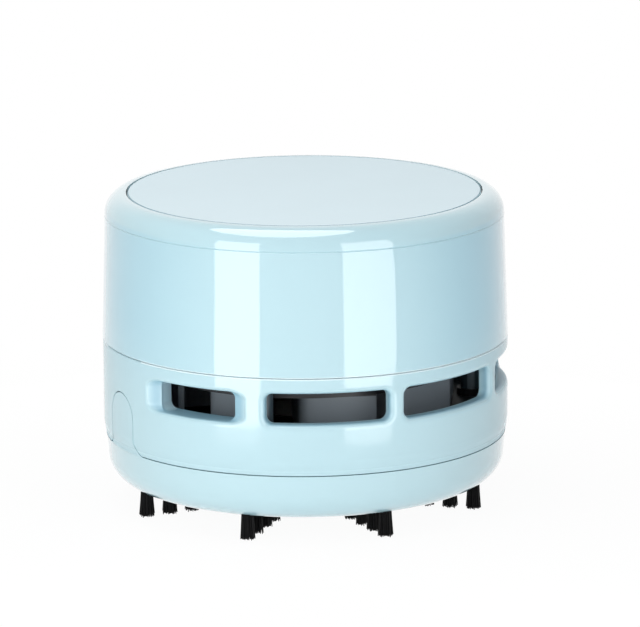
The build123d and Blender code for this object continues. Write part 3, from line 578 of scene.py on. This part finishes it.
def capTubes(mesh, sides, steps):
    # one face closes each tube's two ends
    points = np.empty(len(mesh.vertices) * 3)
    mesh.vertices.foreach_get("co", points)
    faces = [tuple(f.vertices) for f in mesh.polygons]
    tubes = len(mesh.vertices) // (sides * steps)
    for tube in range(tubes):
        first = tube * sides * steps
        faces.append(tuple(range(first + sides - 1, first - 1, -1)))
        last = first + sides * (steps - 1)
        faces.append(tuple(range(last, last + sides)))
    mesh.clear_geometry()
    mesh.from_pydata(points.reshape(-1, 3).tolist(), [], faces)
    mesh.update()


def addPiece(name, mesh, bodyName, slotName, *replaced):
    piece = bpy.data.objects.new(name, mesh)
    scene.collection.objects.link(piece)
    mesh.materials.clear()
    mesh.materials.append(finishes[slotName])
    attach(piece, bodyName)
    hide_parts(*replaced)
    return piece


# lengths from here on are in mm, and become metres where a mesh is made
tufts = {
    "rows": 8,
    "radii": (37.3, 32.1, 26.9, 21.7),   # from the axis
    "rootRadius": 1.30,
    "tipRadius": 1.72,
    "rootHeight": 6.6,
    "fibreCount": 70,
    "fibreRadius": 0.125,
    "sides": 5,
    "steps": 5,
    "goldenTurn": 2.39996,  # radians from one fibre to the next
    "anyTurn": 6.28,        # each tuft's spiral starts anywhere in this
    "stray": 0.045,         # spread of the fibres' tips
    "flare": 1.5,           # power of t by which a tuft opens
    "trim": 0.55,           # spread of the fibres' cut ends
    "coreTrim": 0.35,       # share of it at the middle of a tuft
    "uncut": 2,             # fibres of a tuft that aren't cut shorter
    "taper": 0.25,          # share of its radius that a fibre loses at the tip
    "taperPower": 6,
    "seed": 11,
}


def makeBristleRow(number):
    # a fibre is a thin tube from its place in the socket to its cut end; with t from 0 at the root
    # to 1 at the tip, the tuft opens by t^flare and each fibre strays by t^2
    t = tufts
    random = np.random.default_rng(t["seed"] + number)
    count = t["fibreCount"]
    angle = math.radians(360 / t["rows"] * (number - 1))
    outward = np.array([math.sin(angle), -math.cos(angle)])
    along = np.linspace(0, 1, t["steps"])
    turn = np.linspace(0, 2 * np.pi, t["sides"], endpoint=False)
    ring = np.stack([np.cos(turn), np.sin(turn)], axis=-1)
    thick = t["fibreRadius"] * (1 - t["taper"] * along ** t["taperPower"])
    share = np.sqrt((np.arange(count) + 0.5) / count)
    rootReach, tipReach = (t[end] - t["fibreRadius"] for end in ("rootRadius", "tipRadius"))
    opening = along[:, None] ** t["flare"]
    reach = rootReach * (1 - opening) + tipReach * opening
    grids = []
    for radius in t["radii"]:
        spin = np.arange(count) * t["goldenTurn"] + random.uniform(0, t["anyTurn"])
        place = np.stack([np.cos(spin), np.sin(spin)], axis=-1) * share[:, None]
        stray = random.normal(0, t["stray"], (count, 2))
        low = random.uniform(0, t["trim"], count) * (t["coreTrim"] + (1 - t["coreTrim"]) * share)
        low[random.integers(0, count, t["uncut"])] = 0.0
        height = low[:, None] + (t["rootHeight"] - low[:, None]) * (1 - along)
        centre = place[:, None, :] * reach[None] + stray[:, None, :] * along[None, :, None] ** 2
        size = np.linalg.norm(centre, axis=-1, keepdims=True)
        centre *= np.minimum(1, tipReach / np.maximum(size, 1e-9))
        centre += outward * radius
        across = centre[:, :, None, :] + ring[None, None] * thick[None, :, None, None]
        tall = np.broadcast_to(height[:, :, None, None], (*across.shape[:3], 1))
        grids.append(np.flip(np.concatenate([across, tall], axis=-1), axis=1))
    mesh = meshFromGrid(f"bristleRow{number}", np.concatenate(grids) * mm)
    capTubes(mesh, t["sides"], t["steps"])
    addPiece(f"bristleFibres{number}", mesh, "tray", "bristle_black", f"bristle_row_{number}")


for number in range(1, tufts["rows"] + 1):
    makeBristleRow(number)
print("bristles planted")


def carriedTube(path, radius, sides):
    # a circle carried along the path, square to it: point + side * cos + lift * sin
    along = np.gradient(path, axis=0)
    along /= np.linalg.norm(along, axis=1, keepdims=True)
    side = np.cross(along, (0.0, 0.0, 1.0))
    side /= np.linalg.norm(side, axis=1, keepdims=True)
    lift = np.cross(side, along)
    turn = np.linspace(0, 2 * np.pi, sides, endpoint=False)[None, :, None]
    tube = path[:, None] + radius * (side[:, None] * np.cos(turn) - lift[:, None] * np.sin(turn))
    return tube[None, :, ::-1]


def layAlongY(grid, side, across, start, height):
    # the grid's axis comes to lie along Y; side -1 turns it end for end and over to the left
    x, y, z = grid[..., 0], grid[..., 1], grid[..., 2]
    laid = np.stack([side * (across + x), side * (start + z), height + y], axis=-1)
    return laid[:, :, ::-1]


plateSprings = {"count": 3, "ring": 26.0, "first": 0.0, "low": 57.1, "high": 64.7, "shortest": 6.1,
                "radius": 2.7, "wire": 0.30, "turns": 5.25, "sides": 12}
cellSprings = {"across": 18.5, "contact": 26.75, "height": 44.5, "length": 3.0, "wide": 2.6,
               "narrow": 1.75, "wire": 0.25, "turns": 3.1, "sides": 10}
pointsPerTurn = 40


def coilPath(length, wire, wide, narrow, turns):
    # a helix whose end turns climb by one wire and whose other turns share the rest
    t = np.linspace(0, turns, int(turns * pointsPerTurn))
    dead = 2 * wire
    rise = length - 2 * wire - 2 * dead
    height = wire + np.interp(t, [0, 1, turns - 1, turns], [0, dead, dead + rise, 2 * dead + rise])
    radius = wide + (narrow - wide) * t / turns
    spin = 2 * np.pi * t
    return np.stack([radius * np.cos(spin), radius * np.sin(spin), height], axis=-1)


def makeSprings():
    p, c = plateSprings, cellSprings
    path = coilPath(p["high"] - p["low"], p["wire"], p["radius"], p["radius"], p["turns"])
    for number in range(p["count"]):
        angle = p["first"] + 360 / p["count"] * number
        place = np.array(planPoint(p["ring"], angle)) + (0, 0, p["low"])
        tube = carriedTube(path + place, p["wire"], p["sides"]) * mm
        name = f"plateCoil{number + 1}"
        mesh = meshFromGrid(name, tube)
        capTubes(mesh, tube.shape[2], tube.shape[1])
        coil = addPiece(name, mesh, "cap", "spring_steel", f"plate_spring_{number + 1}")
        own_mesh(coil)
    path = coilPath(c["length"], c["wire"], c["wide"], c["narrow"], c["turns"])
    for side, name in ((1, "right"), (-1, "left")):
        tube = carriedTube(path, c["wire"], c["sides"])
        laid = layAlongY(tube, side, c["across"], -c["contact"], c["height"])
        mesh = meshFromGrid(f"cellCoil_{name}", laid * mm)
        capTubes(mesh, tube.shape[2], tube.shape[1])
        addPiece(f"cellCoil_{name}", mesh, "main_body", "spring_steel", f"cell_spring_{name}")


screws = {
    "head": 1.9, "headHeight": 1.3, "rim": 0.5, "rimRound": 0.08,
    "domeCurve": 0.93, "domeTop": 0.02,
    "crest": 1.0, "root": 0.78, "length": 7.0, "pitch": 0.8, "ridge": 1.6, "neck": 0.15,
    "point": ((0.05, 0.0), (0.45, 0.05)), "pointLength": 0.9,
    "slotHalf": 0.26, "slotSide": 0.08, "slotReach": 1.15, "slotEnd": 0.25, "slotDepth": 0.75,
    "columns": 48, "shankRings": 76, "domeRings": 15,
    "chassisRing": 36.4, "chassisAngles": (94.4, 211.4, 328.4), "chassisSeat": 35.9,
    "shroudRing": 36.8, "shroudAngles": (50.2, 170.2, 290.2), "shroudSeat": 19.9,
}


def screwGrid():
    # rings from the point to the head: a helical ridge on the shank, then a domed head, whose
    # height drops inside a cross where one of |x| and |y| is small and the other within reach
    s = screws
    turn = np.linspace(0, 2 * np.pi, s["columns"], endpoint=False)
    shank = np.linspace(-s["length"] + s["pointLength"], -s["neck"], s["shankRings"])
    phase = (shank[:, None] / s["pitch"] - turn / (2 * np.pi)) % 1.0
    crest = np.clip(s["ridge"] - 2 * s["ridge"] * np.abs(phase - 0.5), 0, 1)
    thread = s["root"] + (s["crest"] - s["root"]) * crest
    seat = [(s["crest"], 0.0), (s["head"] - s["rimRound"], 0.0), (s["head"], s["rimRound"]),
            (s["head"], s["rim"])]
    rings = [(radius, -s["length"] + up) for radius, up in s["point"]]
    rings += [*zip(thread, shank), *seat]
    rings = [np.broadcast_arrays(radius, height, turn)[:2] for radius, height in rings]
    for share in np.linspace(1.0, s["domeTop"], s["domeRings"]):
        radius = np.full(s["columns"], s["head"] * share)
        dome = np.sqrt(1 - (s["domeCurve"] * share) ** 2)
        x, y = np.abs(radius * np.cos(turn)), np.abs(radius * np.sin(turn))
        within = np.clip((s["slotHalf"] - np.minimum(x, y)) / s["slotSide"] + 0.5, 0, 1)
        within = within * np.clip((s["slotReach"] - np.maximum(x, y)) / s["slotEnd"] + 0.5, 0, 1)
        height = s["rim"] + (s["headHeight"] - s["rim"]) * dome
        rings.append((radius, height - s["slotDepth"] * within))
    radius, height = (np.stack(rows) for rows in zip(*rings))
    return np.stack([radius * np.cos(turn), radius * np.sin(turn), height], axis=-1)[None]


def makeScrews():
    s = screws
    grid = screwGrid()
    for name, ring, angles, seat, flip in (
            ("chassis_screws", s["chassisRing"], s["chassisAngles"], s["chassisSeat"], 1),
            ("shroud_screws", s["shroudRing"], s["shroudAngles"], s["shroudSeat"], -1)):
        spun = grid * (1, flip, flip)
        places = [np.array(planPoint(ring, angle)) + (0, 0, seat) for angle in angles]
        whole = np.concatenate([spun + place for place in places])
        mesh = meshFromGrid(name + "Mesh", whole * mm)
        capTubes(mesh, grid.shape[2], grid.shape[1])
        addPiece(name.replace("_", "") + "Cut", mesh, "main_body", "screw_steel", name)


cells = {"across": 18.5, "height": 44.5, "radius": 7.25, "length": 49.5, "nub": 2.75,
         "nubLength": 1.0, "shift": 1.5, "sleeve": 0.12, "columns": 72}


def turnedProfile(profile, columns):
    # a profile of (radius, height) rows carried round the axis
    turn = np.linspace(0, 2 * np.pi, columns, endpoint=False)
    profile = np.asarray(profile, float)
    radius, height = profile[:, :1], profile[:, 1:]
    return np.stack([radius * np.cos(turn), radius * np.sin(turn),
                     np.broadcast_to(height, (len(profile), columns))], axis=-1)[None]


def weld(mesh):
    shape = bmesh.new()
    shape.from_mesh(mesh)
    bmesh.ops.remove_doubles(shape, verts=shape.verts, dist=1e-7)
    shape.to_mesh(mesh)
    shape.free()


def smooth(mesh, angle=35.0):
    # soft shading, with creases kept where faces meet at more than the angle
    mesh.shade_smooth()
    mesh.set_sharp_from_angle(angle=math.radians(angle))


def makeCells():
    # the can and its printed sleeve are two turned profiles, laid along Y with the nub towards the
    # positive contact; the sleeve shrinks over both edges of the can
    c = cells
    r, n, t = c["radius"], c["length"], c["sleeve"]
    can, tip = r - t - 0.02, n + c["nubLength"]
    sleeve = [(5.9, 0.10), (6.1, 0.0), (6.75, 0.0), (7.0, 0.06), (7.18, 0.22), (r, 0.5), (r, 12.0),
              (r, 24.0), (r, 36.0), (r, n - 0.5), (7.18, n - 0.22), (7.0, n - 0.06), (6.75, n),
              (6.1, n), (5.9, n - 0.1), (6.1, n - t), (6.7, n - t), (r - t, n - 0.55),
              (r - t, 0.55), (6.7, t), (6.1, t), (5.9, 0.10)]
    metal = [(0.05, 0.2), (4.6, 0.2), (4.8, 0.13), (5.7, 0.13), (6.2, 0.16), (6.9, 0.2), (can, 0.6),
             (can, n - 0.6), (6.6, n - 0.16), (4.3, n - 0.16), (3.9, n - 0.3), (3.1, n - 0.3),
             (c["nub"], n - 0.1), (c["nub"], n + 0.75), (2.6, n + 0.93), (2.3, tip), (0.05, tip)]
    for side, name in ((1, "right"), (-1, "left")):
        for label, profile, slot in (("Sleeve", sleeve, "cell_wrap"),
                                     ("Can", metal, "contact_metal")):
            grid = turnedProfile(profile, c["columns"])
            laid = layAlongY(grid, side, c["across"], c["shift"] - tip / 2, c["height"])
            mesh = meshFromGrid(f"cell{label}_{name}", laid * mm)
            if label == "Can":
                capTubes(mesh, c["columns"], len(profile))
            else:
                weld(mesh)
            smooth(mesh)
            addPiece(f"cell{label}_{name}", mesh, "main_body", slot, f"cell_{name}")


filterCloth = {"radius": 36.2, "low": 16.3, "thickness": 0.8, "dimple": 0.10, "pitch": 3.6,
               "columns": 144, "rings": 44, "inner": (0.002, 0.03), "edgeFrom": 0.985,
               "edgeWidth": 0.015, "edgeRings": (0.996, 1.0), "edgeShare": 0.25, "crease": 60.0}


def makeCloth():
    # a flat disc of non-woven cloth; both faces lie the thickness apart and sink a little in a
    # diamond pattern, by dimple * (1 + cos u * cos v) / 2, and its cut edge is rounded
    f = filterCloth
    turn = np.linspace(0, 2 * np.pi, f["columns"], endpoint=False)
    centre, first = f["inner"]
    reach = np.concatenate([[centre], np.linspace(first, f["edgeFrom"], f["rings"]),
                            f["edgeRings"]])
    x, y = (f["radius"] * reach[:, None] * g(turn)[None] for g in (np.cos, np.sin))
    k = math.pi / f["pitch"]
    sink = f["dimple"] * (1 + np.cos(k * (x + y)) * np.cos(k * (x - y))) / 2
    out = np.clip((reach - f["edgeFrom"]) / f["edgeWidth"], 0, 1)[:, None]
    edge = np.sqrt(1 - out ** 2)
    half = (f["thickness"] / 2 - sink) * (f["edgeShare"] + (1 - f["edgeShare"]) * edge)
    middle = f["low"] + f["thickness"] / 2
    under = np.stack([x, y, middle - half], axis=-1)
    over = np.stack([x, y, middle + half], axis=-1)[::-1]
    mesh = meshFromGrid("filterCloth", np.concatenate([under, over])[None] * mm)
    capTubes(mesh, f["columns"], 2 * len(reach))
    smooth(mesh, f["crease"])
    cloth = addPiece("filterSheet", mesh, "filter", "filter_cloth", "filter_cloth")


makeSprings()
print("springs wound")
makeScrews()
makeCells()
makeCloth()
print("screws, cells and filter cloth made")
